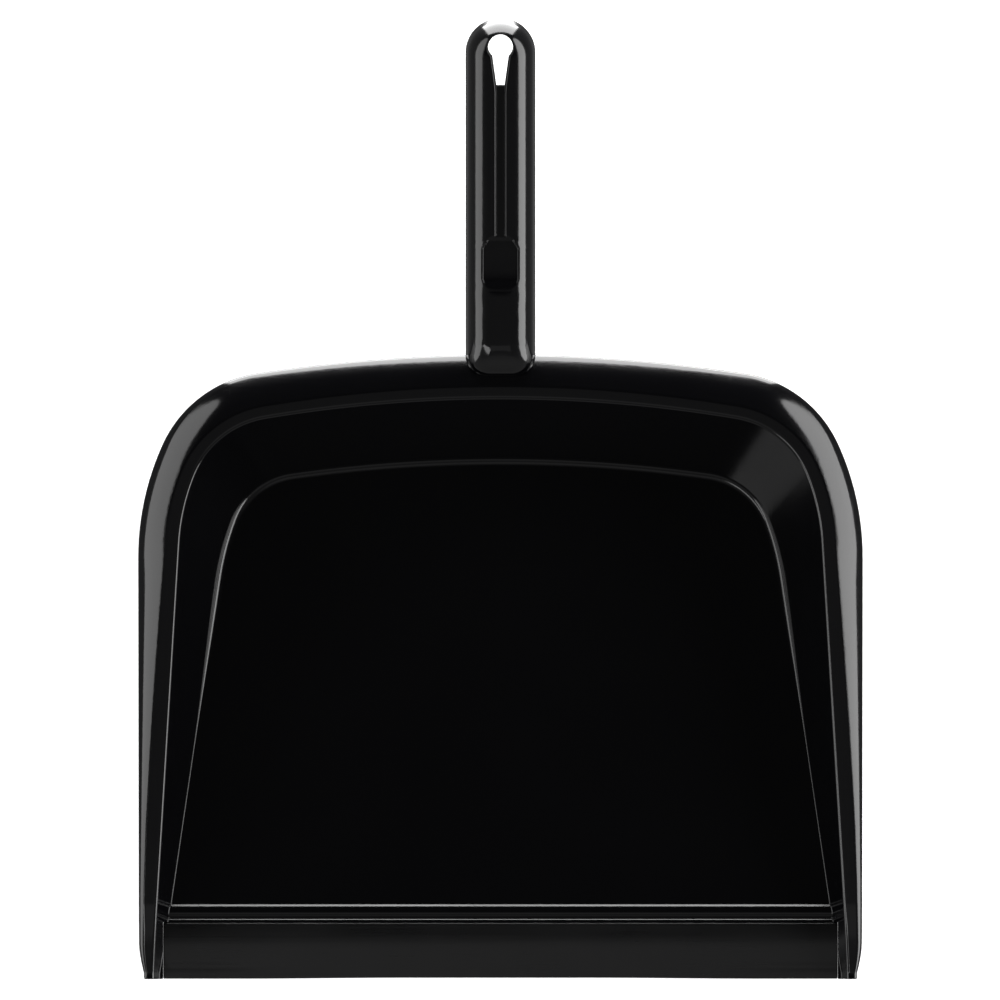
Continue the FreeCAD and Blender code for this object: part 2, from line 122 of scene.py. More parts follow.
FOOT_ROUND_FRONT = 0.35
FOOT_ROUND_START = 95.0
FOOT_ROUND_RUN = 75.0

# The rim's rolled edge: its width grows with the rim's, and its turns are in degrees.
LAND_LEAST = 4.6
ROLL_MOST_SHARE = 0.4
ROLL_LEAST = 3.2
ROLL_RIM = 8.0
ROLL_GROWTH = (0.75, 0.03)
ROLL_FIRST = 1.4
ROLL_FIRST_SHARE = 0.3
ROLL_STEEP = 0.72
ROLL_STEEP_RIM = 16.5
ROLL_STEEP_GROWTH = 0.06
ROLL_TIGHT = 0.95
ROLL_TURNS = (0.0, 24.0, 43.0, 52.0)
ROLL_STEPS = 5
ROLL_TIGHT_STEPS = 8


class Shell:
    """Vertices and faces of a mesh while it is put together."""

    def __init__(self):
        self.points = []
        self.faces = []

    def add(self, points):
        first = len(self.points)
        self.points.extend(points)
        return list(range(first, len(self.points)))

    def strip(self, one, other):
        for a, b, c, d in zip(one, one[1:], other[1:], other):
            self.faces.append((a, b, c, d))

    def grid(self, rows):
        for one, other in zip(rows, rows[1:]):
            self.strip(one, other)

    def face(self, loop):
        self.faces.append(tuple(loop))


def row_point(p):
    return Vector((p.x * MM, (p.y - LENGTH / 2) * MM, p.z * MM))


def make_piece(name, shell, material, node, place=row_point):
    """A smooth closed mesh from the shell, riding on the pan and standing for a CAD node."""
    mesh = bpy.data.meshes.new(name)
    mesh.from_pydata([place(p) for p in shell.points], [], shell.faces)
    bm = bmesh.new()
    bm.from_mesh(mesh)
    bmesh.ops.remove_doubles(bm, verts=bm.verts, dist=MERGE_DISTANCE)
    bmesh.ops.dissolve_degenerate(bm, edges=bm.edges, dist=LEAST_EDGE)
    bmesh.ops.recalc_face_normals(bm, faces=bm.faces)
    bm.to_mesh(mesh)
    bm.free()
    mesh.polygons.foreach_set("use_smooth", [True] * len(mesh.polygons))
    mesh.set_sharp_from_angle(angle=SHARP_ANGLE)
    mesh.materials.append(material)
    obj = bpy.data.objects.new(name, mesh)
    bpy.context.scene.collection.objects.link(obj)
    weighted = obj.modifiers.new("weighted_normals", "WEIGHTED_NORMAL")
    weighted.keep_sharp = True
    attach(obj, "root")
    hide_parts(node)
    return obj


def mix(a, b, share):
    return a + (b - a) * share


def smooth_step(value):
    value = min(max(value, 0.0), 1.0)
    return value * value * (3 - 2 * value)


def corner_curve(before, corner, after, lead, trail, count):
    """Points of a conic round a corner, a circular arc where lead and trail are equal."""
    back, on = before - corner, after - corner
    lead = min(lead, 0.9 * back.length)
    trail = min(trail, 0.9 * on.length)
    if min(lead, trail) < 0.001:
        return [corner] * (count + 1)
    start = corner + back.normalized() * lead
    end = corner + on.normalized() * trail
    weight = math.cos((math.pi - back.angle(on)) / 2)
    curve = []
    for step in range(count + 1):
        t = step / count
        shares = ((1 - t) ** 2, 2 * weight * t * (1 - t), t * t)
        curve.append((start * shares[0] + corner * shares[1] + end * shares[2]) / sum(shares))
    return curve


def rounded_line(first, corners, last, fills):
    """A polyline with rounded corners: each corner is (point, lead, trail, count)."""
    points = [first] + [c[0] for c in corners] + [last]
    line = [first]
    for before, corner, after, fill in zip(points, corners, points[2:], fills):
        place, lead, trail, count = corner
        curve = corner_curve(before, place, after, lead, trail, count)
        line += [mix(line[-1], curve[0], i / fill) for i in range(1, fill)] + curve
    fill = fills[-1]
    return line + [mix(line[-1], last, i / fill) for i in range(1, fill + 1)]


# ---- stations along the rim, from the middle of the back to the front ----


def bead_rows():
    """The Y of the rows over the bead, closer together at its edges."""
    turns = [math.pi * i / 22 for i in range(23)]
    return [BEAD_MIDDLE + (BEAD_HALF + 0.2) * math.cos(turn) for turn in turns]


RIDGE_ROWS = [LIP_BACK + 1.6 - 0.2 * i for i in range(8)]
FRONT_ROWS = [FRONT_JOIN, 32.4] + bead_rows() + RIDGE_ROWS + [LIP_BACK]
END_ROWS = [22.5, 20.5, 18.0, 15.0, 12.5, 10.0, 8.0, 6.0, 4.4, 3.2, CHANNEL_END]


def edge_points(edge, rows, grow=0.0):
    """Half an edge of the pan: its arcs, then its straight side with the given front rows."""
    radii = edge["radii"]
    turns = [0.0] + [math.radians(turn) for turn in edge["turns"]]
    centre = Vector((0.0, edge["back"] - radii[0]))
    points = []
    for i, radius in enumerate(radii):
        if i:
            toward = Vector((math.sin(turns[i]), math.cos(turns[i])))
            centre = centre + toward * (radii[i - 1] - radius)
        steps = ARC_STEPS[i]
        for step in range(steps):
            turn = mix(turns[i], turns[i + 1], step / steps)
            points.append(centre + Vector((math.sin(turn), math.cos(turn))) * (radius + grow))
    slant = math.pi / 2 - turns[3]
    top = centre + Vector((math.sin(turns[3]), math.cos(turns[3]))) * (radii[2] + grow)
    side_rows = [mix(top.y, FRONT_JOIN, step / SIDE_STEPS) for step in range(SIDE_STEPS)]
    for y in side_rows + rows:
        points.append(Vector((top.x + (top.y - y) * math.tan(slant), y)))
    return points


def rim_height(y):
    """The rim line: a straight slope with a soft bend down to the nose."""
    slope = RIM_BASE + y * math.tan(RIM_ANGLE)
    bend = RIM_BASE + NOSE_LENGTH * math.tan(RIM_ANGLE)
    nose = NOSE_HEIGHT + (bend - NOSE_HEIGHT) * y / NOSE_LENGTH
    overlap = max(NOSE_BLEND - abs(slope - nose), 0.0) / NOSE_BLEND
    return min(slope, nose) - overlap * overlap * NOSE_BLEND / 4


def soft_least(a, b, blend):
    """The lesser of two values, with a rounded change from one to the other."""
    near = max(blend - abs(a - b), 0.0) / blend
    return min(a, b) - near * near * blend / 4


def floor_height(y):
    """The tray's floor, with the bead across its front and the small ridge along the lip."""
    up = BEAD_SLOPE * (BEAD_MIDDLE + BEAD_HALF - y)
    down = BEAD_SLOPE * (y - BEAD_MIDDLE + BEAD_HALF)
    bead = soft_least(soft_least(up, down, BEAD_SOFT), BEAD_HEIGHT, BEAD_TOP_SOFT)
    ridge_slope = BEAD_SLOPE * (LIP_BACK + EDGE_RIDGE_FOOT - y)
    ridge = soft_least(ridge_slope, EDGE_RIDGE, EDGE_RIDGE_SOFT)
    return FLOOR_TOP - soft_least(-max(bead, ridge), 0.0, BEAD_FOOT_SOFT)


def pulled_in(point):
    """The outer edge turns in a little towards the front corner."""
    share = max(1 - point.y / CORNER_REACH, 0.0)
    return Vector((point.x - CORNER_PULL * share ** 1.6, point.y))


def roll_profile(rim_width):
    """The rim's rounded outer edge as (share of its width, drop) pairs, and its width.

    From the flat land beside the tray the rim turns down quickly at first, then slowly, and ends
    in a tight turn to the upright skirt.
    """
    more = max(rim_width - ROLL_RIM, 0.0)
    grown = ROLL_LEAST + ROLL_GROWTH[0] * more + ROLL_GROWTH[1] * more ** 2
    width = min(grown, max(rim_width - LAND_LEAST, ROLL_MOST_SHARE * rim_width))
    steep = ROLL_STEEP + ROLL_STEEP_GROWTH * max(rim_width - ROLL_STEEP_RIM, 0.0)
    places = (0.0, min(ROLL_FIRST / width, ROLL_FIRST_SHARE), steep, ROLL_TIGHT)
    turns = list(zip(places, ROLL_TURNS))
    pairs, drop = [(0.0, 0.0)], 0.0
    for (a, low), (b, high) in zip(turns, turns[1:]):
        for step in range(1, ROLL_STEPS + 1):
            turn = math.radians(mix(low, high, (step - 0.5) / ROLL_STEPS))
            drop += (b - a) / ROLL_STEPS * width * math.tan(turn)
            pairs.append((mix(a, b, step / ROLL_STEPS), drop))
    final = math.radians(ROLL_TURNS[-1])
    radius = (1 - ROLL_TIGHT) * width / (1 - math.sin(final))
    for step in range(1, ROLL_TIGHT_STEPS + 1):
        turn = math.radians(mix(ROLL_TURNS[-1], 90.0, step / ROLL_TIGHT_STEPS))
        share = ROLL_TIGHT + radius * (math.sin(turn) - math.sin(final)) / width
        pairs.append((share, drop + radius * (math.cos(final) - math.cos(turn))))
    return pairs, width


def at_height(point, height):
    return Vector((point.x, point.y, height))


ALL_ROWS = FRONT_ROWS + END_ROWS
EDGES = {
    "floor_in": edge_points(FLOOR, ALL_ROWS, FOOT_SHIFT - FLOOR_EDGE),
    "floor": edge_points(FLOOR, ALL_ROWS, FOOT_SHIFT),
    "floor_out": edge_points(FLOOR, ALL_ROWS, FOOT_SHIFT + WALL_FOOT),
    "inner": edge_points(INNER, ALL_ROWS),
    "inner_out": edge_points(INNER, ALL_ROWS, WALL_ACROSS),
    "outer": [pulled_in(p) for p in edge_points(OUTER, ALL_ROWS)],
    "outer_in": [pulled_in(p) for p in edge_points(OUTER, ALL_ROWS, -SKIRT_WALL)],
}
STATIONS = len(EDGES["floor"])
JOIN_STATION = STATIONS - len(ALL_ROWS)
NOTCH_STATION = STATIONS - len(END_ROWS) - 1

# How many points a section has before the middle of the skirt's outer corner.
LAND_POINTS = 28
ROLL_POINTS = 3 * ROLL_STEPS + ROLL_TIGHT_STEPS
SKIRT_CORNER = LAND_POINTS + ROLL_POINTS + 4


def section(i):
    """The wall and rim cut across at station i, from the floor over the rim and back underneath."""
    edge = {name: points[i] for name, points in EDGES.items()}
    base = floor_height(edge["floor"].y) if i >= JOIN_STATION else FLOOR_TOP
    rim_in = at_height(edge["inner"], rim_height(edge["inner"].y))
    foot = at_height(edge["floor"], FLOOR_TOP)
    foot = mix(foot, rim_in, (base - FLOOR_TOP) / (rim_in.z - FLOOR_TOP))
    floor_in = at_height(edge["floor_in"], base)
    rim_out = at_height(edge["outer"], rim_height(edge["outer"].y))
    skirt_out = at_height(edge["outer"], max(rim_out.z - SKIRT_DEPTH, 0.0))
    in_height = rim_height(edge["outer_in"].y)
    skirt_in = at_height(edge["outer_in"], max(in_height - SKIRT_DEPTH, 0.0))
    tub_top = at_height(edge["inner_out"], rim_height(edge["inner_out"].y) - RIM_PLATE)
    tub_foot = at_height(edge["floor_out"], FLOOR_UNDER)
    channel = at_height(edge["outer_in"], in_height - RIM_PLATE)
    if i > JOIN_STATION:
        room = channel.x - CHANNEL_LEAST - tub_foot.x
        share = min(room / (tub_top.x - tub_foot.x), 1.0)
        if share < 1.0:
            tub_top = mix(tub_foot, tub_top, share)
            channel.z = tub_top.z
    floor_under = at_height(edge["floor_in"], FLOOR_UNDER)

    around = EDGES["outer"][min(i + 1, STATIONS - 1)] - EDGES["outer"][max(i - 1, 0)]
    rim_width = abs((edge["outer"] - edge["inner"]).cross(around.normalized()))
    pairs, width = roll_profile(rim_width)
    roll_start = mix(rim_in, rim_out, 1 - width / rim_width)
    roll = [mix(roll_start, rim_out, share) - Vector((0.0, 0.0, drop)) for share, drop in pairs]
    fall = pairs[-1][1]
    under_start = mix(tub_top, channel, UNDER_FLAT_SHARE * (1 - width / rim_width))
    under_end = channel.copy()
    under_end.z = min(under_start.z, roll[-1].z)
    under = []
    for share, drop in pairs[::-1][1:]:
        place = mix(under_start, under_end, share)
        place.z = mix(under_start.z, under_end.z, drop / fall)
        under.append(place)

    widening = smooth_step((foot.y - FOOT_ROUND_START) / FOOT_ROUND_RUN)
    foot_round = mix(FOOT_ROUND_FRONT, FOOT_ROUND, widening)
    line = rounded_line(floor_in, [(foot, foot_round, foot_round, 10), (rim_in, *RIM_ROUND, 6)],
                        roll[0], (2, 6, 3))
    line += roll[1:]
    line += rounded_line(roll[-1], [(skirt_out, SKIRT_SOFT, SKIRT_SOFT, 4),
                                    (skirt_in, SKIRT_SOFT, SKIRT_SOFT, 4)],
                         under_end, (1, 1, 3))[1:]
    line += under
    line += rounded_line(under[-1], [(tub_top, WALL_TOP_ROUND, WALL_TOP_ROUND, 4),
                                     (tub_foot, WALL_FOOT_ROUND, WALL_FOOT_ROUND, 8)],
                         floor_under, (2, 5, 2))[1:]
    return line


def wall_crossing(line, order):
    """Index and place of the first point on a section line where it crosses the notch's side."""
    for a, b in zip(order, order[1:]):
        if line[a].x < NOTCH_HALF <= line[b].x:
            share = (NOTCH_HALF - line[a].x) / (line[b].x - line[a].x)
            nearer = a if share < 0.5 else b
            return nearer, mix(line[a], line[b], share)
    raise RuntimeError("the section does not cross the notch")


def clamped(line):
    """A section with everything inside the notch's side moved onto it."""
    order = list(range(len(line)))
    _, upper = wall_crossing(line, order)
    _, lower = wall_crossing(line, order[::-1])
    middle = len(line) // 2
    kept = []
    for i, p in enumerate(line):
        if p.x < NOTCH_HALF + 0.001:
            p = upper if i < middle else lower
        kept.append(p)
    return kept + [mix(kept[-1], kept[0], share) for share in (1 / 3, 2 / 3, 1.0)]


def solid_end(line, start):
    """A clamped section with the hollow under the rim filled in, from point start on."""
    last = len(line) - 4
    filled = [mix(line[start], line[last], (i - start) / (last - start))
              for i in range(start, last)]
    return line[:start] + filled + line[last:]


def shrunk(line, y, inset):
    """A closed section moved forward to y and drawn in towards its own middle."""
    xs, zs = [p.x for p in line], [p.z for p in line]
    middle = Vector(((min(xs) + max(xs)) / 2, 0.0, (min(zs) + max(zs)) / 2))
    across = 1 - 2 * inset / (max(xs) - min(xs))
    up = 1 - 2 * inset / (max(zs) - min(zs))
    return [Vector((mix(middle.x, p.x, across), y, mix(middle.z, p.z, up))) for p in line]


def mirrored(line):
    return [Vector((-p.x, p.y, p.z)) for p in line]


END_ROUND = 0.5
END_ROUND_STEPS = 4
COLUMNS = 36
FILL_RINGS = 8
FILL_CENTRE = 125.0


def fill_flat(shell, loop, lift):
    """Rings of quads from a loop of the floor in to its middle, which stands up by lift."""
    rim_points = [shell.points[i] for i in loop]
    middle = Vector((0.0, FILL_CENTRE, rim_points[0].z))
    previous = loop + loop[:1]
    for ring in range(1, FILL_RINGS):
        share = 1 - ring / FILL_RINGS
        rise = Vector((0.0, 0.0, lift * (1 - share * share) ** 2))
        here = shell.add([mix(middle, p, share) + rise for p in rim_points])
        shell.strip(previous, here + here[:1])
        previous = here + here[:1]
    centre = shell.add([middle + Vector((0.0, 0.0, lift))])[0]
    for a, b in zip(previous, previous[1:]):
        shell.face((a, b, centre))


def floor_side(shell, rows, right, left, which, lift):
    """One side of the floor: rows across its front, then rings over the rest of it."""
    across = []
    for i in rows:
        a, b = shell.points[right[i][which]], shell.points[left[i][which]]
        inner = shell.add([mix(a, b, c / COLUMNS) for c in range(1, COLUMNS)])
        across.append([right[i][which]] + inner + [left[i][which]])
    shell.grid(across)
    back = [left[i][which] for i in range(rows[0], 0, -1)]
    back += [right[i][which] for i in range(rows[0] + 1)]
    fill_flat(shell, back + across[0][1:-1], lift)
    return across[-1]


def pan_shell():
    shell = Shell()
    lines = [section(i) for i in range(STATIONS)]
    at_notch = lines[NOTCH_STATION]
    order = list(range(len(at_notch)))
    upper, upper_place = wall_crossing(at_notch, order)
    lower, lower_place = wall_crossing(at_notch, order[::-1])
    at_notch[upper], at_notch[lower] = upper_place, lower_place

    ends = [clamped(line) for line in lines[NOTCH_STATION:]]
    solid = solid_end(ends[-1], SKIRT_CORNER)
    front = []
    for step in range(END_ROUND_STEPS + 1):
        turn = math.pi / 2 * step / END_ROUND_STEPS
        forward, inset = END_ROUND * (1 - math.sin(turn)), END_ROUND * (1 - math.cos(turn))
        front.append(shrunk(solid, forward, inset))

    sides = []
    for flip in (list, mirrored):
        body = [shell.add(flip(line)) for line in lines[:NOTCH_STATION + 1]]
        shell.grid(body)
        closed = [shell.add(flip(line)) for line in ends + [solid] + front]
        shell.grid(closed)
        shell.face(closed[-1])
        sides.append(body)
    right, left = sides

    rows = range(JOIN_STATION, NOTCH_STATION + 1)
    top_row = floor_side(shell, rows, right, left, 0, CROWN)
    under_row = floor_side(shell, rows, right, left, -1, 0.0)
    last_right, last_left = right[-1], left[-1]
    side = ends[0][-3:-1]
    side_right, side_left = shell.add(side), shell.add(mirrored(side[::-1]))
    shell.face(last_right[upper:0:-1] + top_row + last_left[1:upper + 1] + side_left
               + last_left[lower:-1] + under_row[::-1] + last_right[-2:lower - 1:-1] + side_right)
    return shell


def sharpen_notch(mesh):
    """Marks the edge between each flat side of the notch and the slanted wall it cuts."""
    flat = set()
    for polygon in mesh.polygons:
        across = [abs(mesh.vertices[i].co.x) / MM - NOTCH_HALF for i in polygon.vertices]
        if max(map(abs, across)) < LEAST_EDGE / MM:
            flat ^= set(polygon.edge_keys)
    for edge in mesh.edges:
        if edge.key in flat:
            edge.use_edge_sharp = True


# ---- soft lip ----

LIP_EDGE = 0.8
LIP_BEND_START = 21.8
LIP_BEND_END = 11.0
LIP_BOW = 0.4
BOW_START = 40.0
BOW_RUN = 70.0
RIPPLE_DEPTH = 0.26
RIPPLE_PLACE = 5.0
RIPPLE_WIDTH = 1.8
RIPPLE_START = 85.0
RIPPLE_RUN = 40.0
LIP_TOP_START = 23.9
LIP_ROW = 0.55
LIP_ROWS = 42
LIP_COLUMNS = 60
LIP_END_ROUND = 0.4
LIP_END_STEPS = 6
SLOT_DEPTH = 11.0
SLOT_BOTTOM = 1.2
SLOT_TOP = 2.8


def lip_drop(y):
    """How far the lip's top has fallen at y, for a slope of one: flat, then bending to straight."""
    bend = LIP_BEND_START - LIP_BEND_END
    turned = min(max((LIP_BEND_START - y) / bend, 0.0), 1.0)
    return bend * (turned ** 3 - turned ** 4 / 2) + max(LIP_BEND_END - y, 0.0)


def lip_height(x, y):
    """The lip's top: it falls towards the front, with a shallow ripple near both ends."""
    fall = (LIP_TOP - LIP_EDGE) * lip_drop(y) / lip_drop(0.0)
    near_end = smooth_step((abs(x) - RIPPLE_START) / RIPPLE_RUN)
    ripple = RIPPLE_DEPTH * near_end * math.exp(-((y - RIPPLE_PLACE) / RIPPLE_WIDTH) ** 2)
    return LIP_TOP - fall - ripple


def lip_section(x):
    """The lip cut across at x: over the top to the back, round the slot, and along the ground."""
    rows = [LIP_TOP_START - LIP_ROW * i for i in range(1, LIP_ROWS)]
    top = [Vector((0.0, y, lip_height(x, y))) for y in rows]
    back_top = Vector((0.0, LIP_BACK, LIP_TOP))
    tip = Vector((0.0, LIP_BACK - SLOT_DEPTH, SLOT_TOP))
    tip_low = Vector((0.0, LIP_BACK - SLOT_DEPTH, SLOT_BOTTOM))
    line = rounded_line(top[2], [
        (back_top, 1.3, 1.3, 7),
        (Vector((0.0, LIP_BACK, SLOT_TOP)), 0.3, 0.3, 3),
        (tip, 0.2, 0.2, 2),
        (tip_low, 0.2, 0.2, 2),
        (Vector((0.0, LIP_BACK, SLOT_BOTTOM)), 0.3, 0.3, 3),
        (Vector((0.0, LIP_BACK, 0.0)), 0.4, 0.4, 3),
        (Vector((0.0, 0.0, 0.0)), 0.35, 0.35, 3),
        (Vector((0.0, 0.0, LIP_EDGE)), 0.35, 0.35, 3),
    ], top[-1], (1, 2, 6, 1, 6, 1, 12, 1, 1))
    return line + top[-2:1:-1]


def lip_shell():
    shell = Shell()
    places = [LIP_HALF * i / LIP_COLUMNS for i in range(LIP_COLUMNS)]
    stations = [(x, 0.0) for x in places if x < LIP_HALF - 2 * LIP_END_ROUND]
    for i in range(LIP_END_STEPS + 1):
        turn = math.pi / 2 * i / LIP_END_STEPS
        stations.append((LIP_HALF - LIP_END_ROUND * (1 - math.sin(turn)), 1 - math.cos(turn)))
    for flip in (1, -1):
        rings = []
        for x, rounding in stations:
            bow = LIP_BOW * (1 - smooth_step((x - BOW_START) / BOW_RUN))
            ring = []
            for p in lip_section(x):
                share = p.y / LIP_BACK
                pull = rounding * (0.3 * share ** 3 - 0.4 * (1 - share) ** 3)
                y = p.y - pull + bow * (1 - share) ** 2
                low = 0.15 * rounding
                z = mix(low, p.z, 1 - (0.15 + low) * rounding / LIP_TOP) if rounding else p.z
                ring.append(Vector((flip * x, y, z)))
            rings.append(shell.add(ring + ring[:1]))
        shell.grid(rings)
        shell.face(rings[-1][:-1])
    return shell


# ---- handle, in its own frame: Y up the slope of the rim, Z square to it ----

HANDLE_RISE = 6.0
HANDLE_FOOT = -8.75
HANDLE_HALF = 14.75
HANDLE_ROOT = 257.2
HANDLE_END = (LENGTH + HANDLE_FOOT * math.sin(RIM_ANGLE)) / math.cos(RIM_ANGLE)
TIP_CENTRE = HANDLE_END - HANDLE_HALF
ROOT_CORNER = 10.0
ROOT_RUN = 16.0
DRAFT = math.tan(math.radians(10))
SHOULDER = 12.0
SHOULDER_TURN = math.radians(80)
SHOULDER_DROP = SHOULDER * (1 - math.cos(SHOULDER_TURN))
SHOULDER_END = HANDLE_RISE - SHOULDER_DROP
SHOULDER_OUT = SHOULDER * math.sin(SHOULDER_TURN)
FLAT_HALF = HANDLE_HALF - SHOULDER_OUT - (SHOULDER_END - HANDLE_FOOT) * DRAFT
HANDLE_WALL = 2.6
HANDLE_SOFT = 0.6
LEAST_WALL = 0.3
FLARE = 0.9
FLARE_START = 262.0
FLARE_RUN = 5.0
FLARE_TOP = 1.9
FLARE_HEIGHT = 1.4
FLARE_INNER = 10.6
RIM_SINK = 1.0
TOP_WALL = 1.4
CEILING = 1.5
CEILING_HALF = 9.0
CEILING_SOFT = 0.8
ROOT_INNER = 5.3
ROOT_LOW_SHARE = 0.35
ROOT_ROWS_END = 272.0
NECK_START = 277.0
NECK_END = 285.0
NECK_HALF = 2.2
EDGE_SOFT = 0.5
LOBE_RADIUS = 5.2
LOBE_CENTRE = HANDLE_END - 10.4
SLOT_MOUTH_HALF = 3.4
SLOT_END_HALF = 1.7
SLOT_END = HANDLE_END - 26.8
SLOT_MOUTH = LOBE_CENTRE - math.sqrt(LOBE_RADIUS ** 2 - SLOT_MOUTH_HALF ** 2)
POCKET_START = 295.3
POCKET_END = 318.0
POCKET_DEPTH = 2.2
POCKET_HALF = 7.6
POCKET_START_HALF = 5.2
POCKET_END_HALF = 5.4
POCKET_TAPER = 5.2
GROOVE_HALF = 1.8
GROOVE_DEPTH = 1.6
TOP_COLUMNS = 22
CEILING_COLUMNS = 6
CENTRE_COLUMNS = 8
ROOT_COLUMNS = 4
CORNER_STEPS = 10
SLOT_ROWS = 11
TIP_STEPS = 30


def slope_point(p):
    """From the handle's frame to the row frame."""
    y = p.y * math.cos(RIM_ANGLE) - p.z * math.sin(RIM_ANGLE)
    z = RIM_BASE + p.y * math.sin(RIM_ANGLE) + p.z * math.cos(RIM_ANGLE)
    return row_point(Vector((p.x, y, z)))


def piecewise(value, table):
    """Smooth steps between the (place, value) pairs of a table."""
    for (a, low), (b, high) in zip(table, table[1:]):
        if value <= b:
            return mix(low, high, smooth_step((value - a) / (b - a)))
    return table[-1][1]


# Half the width of what is sunk in the handle's top, how deep it is, and half the gap that the
# ceiling leaves inside, each as (Y, value) pairs.
FEATURE_HALF = [
    (HANDLE_ROOT + ROOT_CORNER, ROOT_INNER), (NECK_START, NECK_HALF), (NECK_END, NECK_HALF),
    (POCKET_START, POCKET_START_HALF), (POCKET_START + POCKET_TAPER, POCKET_HALF),
    (POCKET_END - POCKET_TAPER, POCKET_HALF), (POCKET_END - 1.0, POCKET_END_HALF),
    (POCKET_END + 1.0, GROOVE_HALF + EDGE_SOFT / 2), (SLOT_END - 3.0, GROOVE_HALF + EDGE_SOFT / 2),
    (SLOT_END, SLOT_END_HALF + EDGE_SOFT),
]
FEATURE_DEPTH = [
    (POCKET_START - 0.1, 0.0), (POCKET_START + 6.4, POCKET_DEPTH), (POCKET_END - 1.5, POCKET_DEPTH),
    (POCKET_END, GROOVE_DEPTH), (SLOT_END, GROOVE_DEPTH),
]
CEILING_INNER = [
    (HANDLE_ROOT + ROOT_CORNER, ROOT_INNER + EDGE_SOFT), (NECK_START, SLOT_END_HALF),
    (SLOT_END, SLOT_END_HALF),
]


def slot_half(y):
    return mix(SLOT_END_HALF, SLOT_MOUTH_HALF, (y - SLOT_END) / (SLOT_MOUTH - SLOT_END))


def lobe_reach(turn):
    """Distance from the tip's centre to the keyhole's edge in the direction of a turn from X."""
    if turn < math.atan2(SLOT_MOUTH - TIP_CENTRE, SLOT_MOUTH_HALF):
        return slot_half(TIP_CENTRE + math.tan(turn) * SLOT_MOUTH_HALF) / math.cos(turn)
    off = LOBE_CENTRE - TIP_CENTRE
    return off * math.sin(turn) + math.sqrt(LOBE_RADIUS ** 2 - (off * math.cos(turn)) ** 2)


def top_height(reach):
    """Height of the handle's top at a distance from its middle line: flat, then the shoulder."""
    over = max(reach - FLAT_HALF, 0.0)
    return HANDLE_RISE - SHOULDER + math.sqrt(max(SHOULDER ** 2 - over ** 2, 0.0))


def top_run(reach):
    """Length along the top from the middle line out to a distance."""
    over = max(reach - FLAT_HALF, 0.0)
    return min(reach, FLAT_HALF) + SHOULDER * math.asin(over / SHOULDER)


def top_place(run):
    """(distance from the middle line, height) at a length along the top."""
    turn = max(run - FLAT_HALF, 0.0) / SHOULDER
    reach = min(run, FLAT_HALF) + SHOULDER * math.sin(turn)
    return reach, HANDLE_RISE - SHOULDER * (1 - math.cos(turn))


def wall_bottom(y):
    """Height of the handle's foot: just under the rim's surface where it sits on the rim."""
    pairs, width = roll_profile(OUTER["back"] - INNER["back"])
    share = (y * math.cos(RIM_ANGLE) - OUTER["back"]) / width + 1
    for (a, low), (b, high) in zip(pairs, pairs[1:]):
        if a <= share < b:
            return max(-RIM_SINK - mix(low, high, (share - a) / (b - a)), HANDLE_FOOT)
    return -RIM_SINK if share < 0 else HANDLE_FOOT


def ceiling_corner(inner):
    """(distance, height) where the ceiling inside the handle meets its side."""
    reach = max(CEILING_HALF, inner + 0.4)
    arc = math.sqrt((SHOULDER - TOP_WALL) ** 2 - (reach - FLAT_HALF) ** 2)
    return Vector((reach, min(CEILING, HANDLE_RISE - SHOULDER + arc), 0.0))


def handle_profile(start, inner, bottom, flare):
    """(distance, height) pairs from the top's inner edge out over the shoulder, down the wall and
    back inside to the ceiling's inner edge."""
    turn = min(math.acos(1 - (HANDLE_RISE - bottom - LEAST_WALL) / SHOULDER), SHOULDER_TURN)
    run, end = top_run(start), FLAT_HALF + SHOULDER * turn
    runs = [mix(run, end, i / TOP_COLUMNS) for i in range(TOP_COLUMNS)]
    pairs = [Vector(top_place(run)).to_3d() for run in runs]
    shoulder = Vector(top_place(end)).to_3d()
    reach = HANDLE_HALF - (bottom - HANDLE_FOOT) * DRAFT
    if turn < SHOULDER_TURN:
        reach = shoulder.x + LEAST_WALL / math.tan(turn)
    outside = Vector((reach, bottom, 0.0))
    inside = Vector((outside.x - HANDLE_WALL, bottom, 0.0))
    ceiling = ceiling_corner(inner)
    pairs += rounded_line(shoulder, [
        (outside, HANDLE_SOFT, HANDLE_SOFT, 4), (inside, HANDLE_SOFT, HANDLE_SOFT, 4),
        (ceiling, CEILING_SOFT, CEILING_SOFT, 3),
    ], Vector((inner, ceiling.y, 0.0)), (7, 1, 5, CEILING_COLUMNS))
    spread = []
    for p in pairs:
        near = min(max((bottom + FLARE_TOP - p.y) / FLARE_HEIGHT, 0.0), 1.0)
        if p.x <= FLARE_INNER:
            near = 0.0
        spread.append(Vector((p.x + flare * (1 - math.sqrt(1 - near * near)), p.y, 0.0)))
    return spread


def clustered(start, end, count):
    """Places from start to end, closer together at both."""
    return [mix(start, end, (1 - math.cos(math.pi * i / count)) / 2) for i in range(count + 1)]


def side_rows():
    """The Y of the rows along the handle, closer together where its top changes."""
    start = HANDLE_ROOT + ROOT_CORNER
    rows = [start]
    for end, count in (
        (ROOT_ROWS_END, 5), (NECK_END, 6), (POCKET_START - 0.1, 6), (POCKET_START + 1.4, 6),
        (POCKET_START + POCKET_TAPER, 5), (POCKET_END - POCKET_TAPER, 3), (POCKET_END - 1.5, 5),
        (POCKET_END, 5), (POCKET_END + 1.0, 3), (SLOT_END - 3.0, 24), (SLOT_END, 3),
    ):
        rows += clustered(start, end, count)[1:]
        start = end
    return rows


